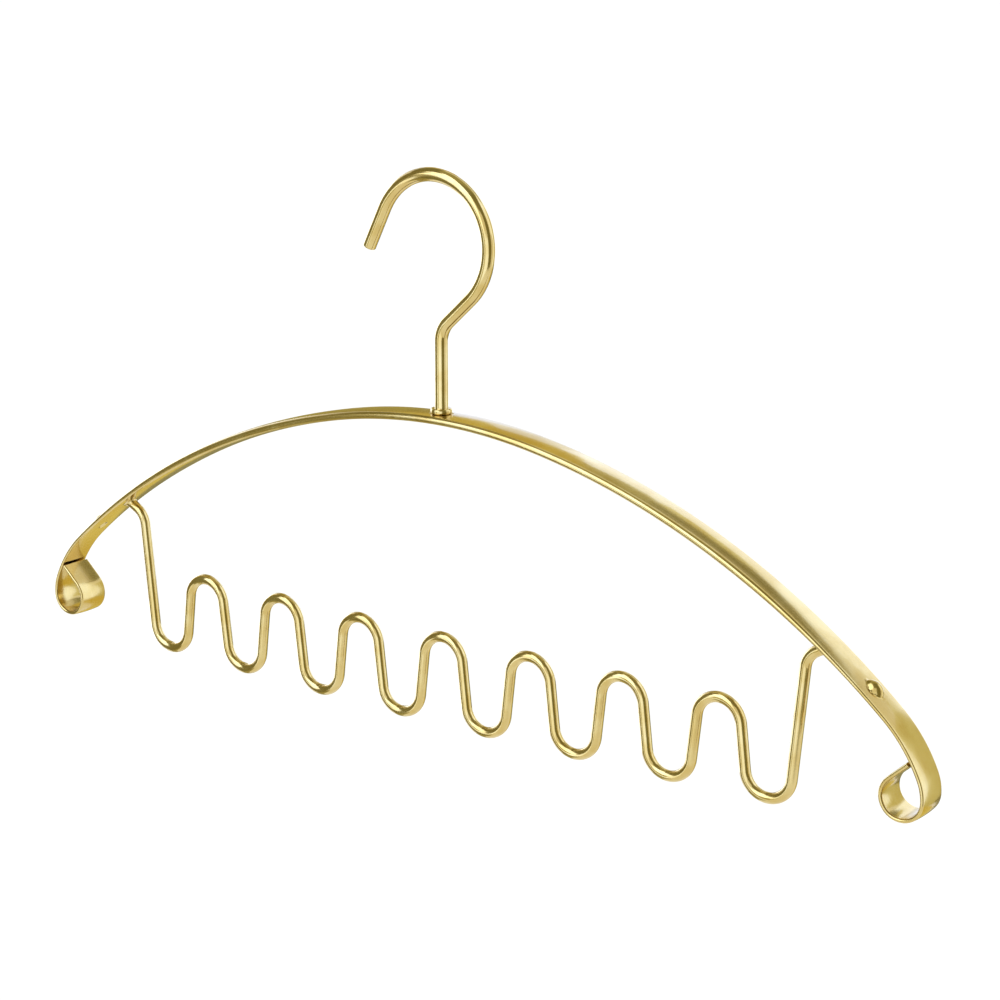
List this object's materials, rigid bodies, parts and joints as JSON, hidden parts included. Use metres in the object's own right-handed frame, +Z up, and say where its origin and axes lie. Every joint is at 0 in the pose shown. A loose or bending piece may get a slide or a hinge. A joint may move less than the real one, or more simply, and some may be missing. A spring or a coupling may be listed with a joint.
{
  "type": "scarf hanger",
  "caption": "Gold metal scarf hanger: a bowed flat bar with curled ends, a wave of U bends welded under it to hold scarves, and a swivel hook.",
  "frame": {"origin": "the saddle: the point inside the hook's crown, over the stem's axis, that rests on the rail", "axes": "+X along the bar, away from the hook's open side; +Y across the bar, along the rail; +Z up"},
  "size_m": [0.398, 0.0132, 0.2055],
  "materials": {
    "satin_gold_bar": "satin",
    "bright_gold_wire": "polished"
  },
  "bodies": {
    "hook": {"hook": "bright_gold_wire", "hook_collar": "bright_gold_wire"},
    "bar": {"shoulder_bar": "satin_gold_bar", "wave_wire": "bright_gold_wire", "weld_left": "bright_gold_wire", "weld_right": "bright_gold_wire"}
  },
  "joints": [
    {"name": "hook_swivel", "type": "hinge", "parent": "hook", "child": "bar", "pos_m": [0, 0, -0.08373], "axis": [0, 0, 1], "continuous": true}
  ]
}
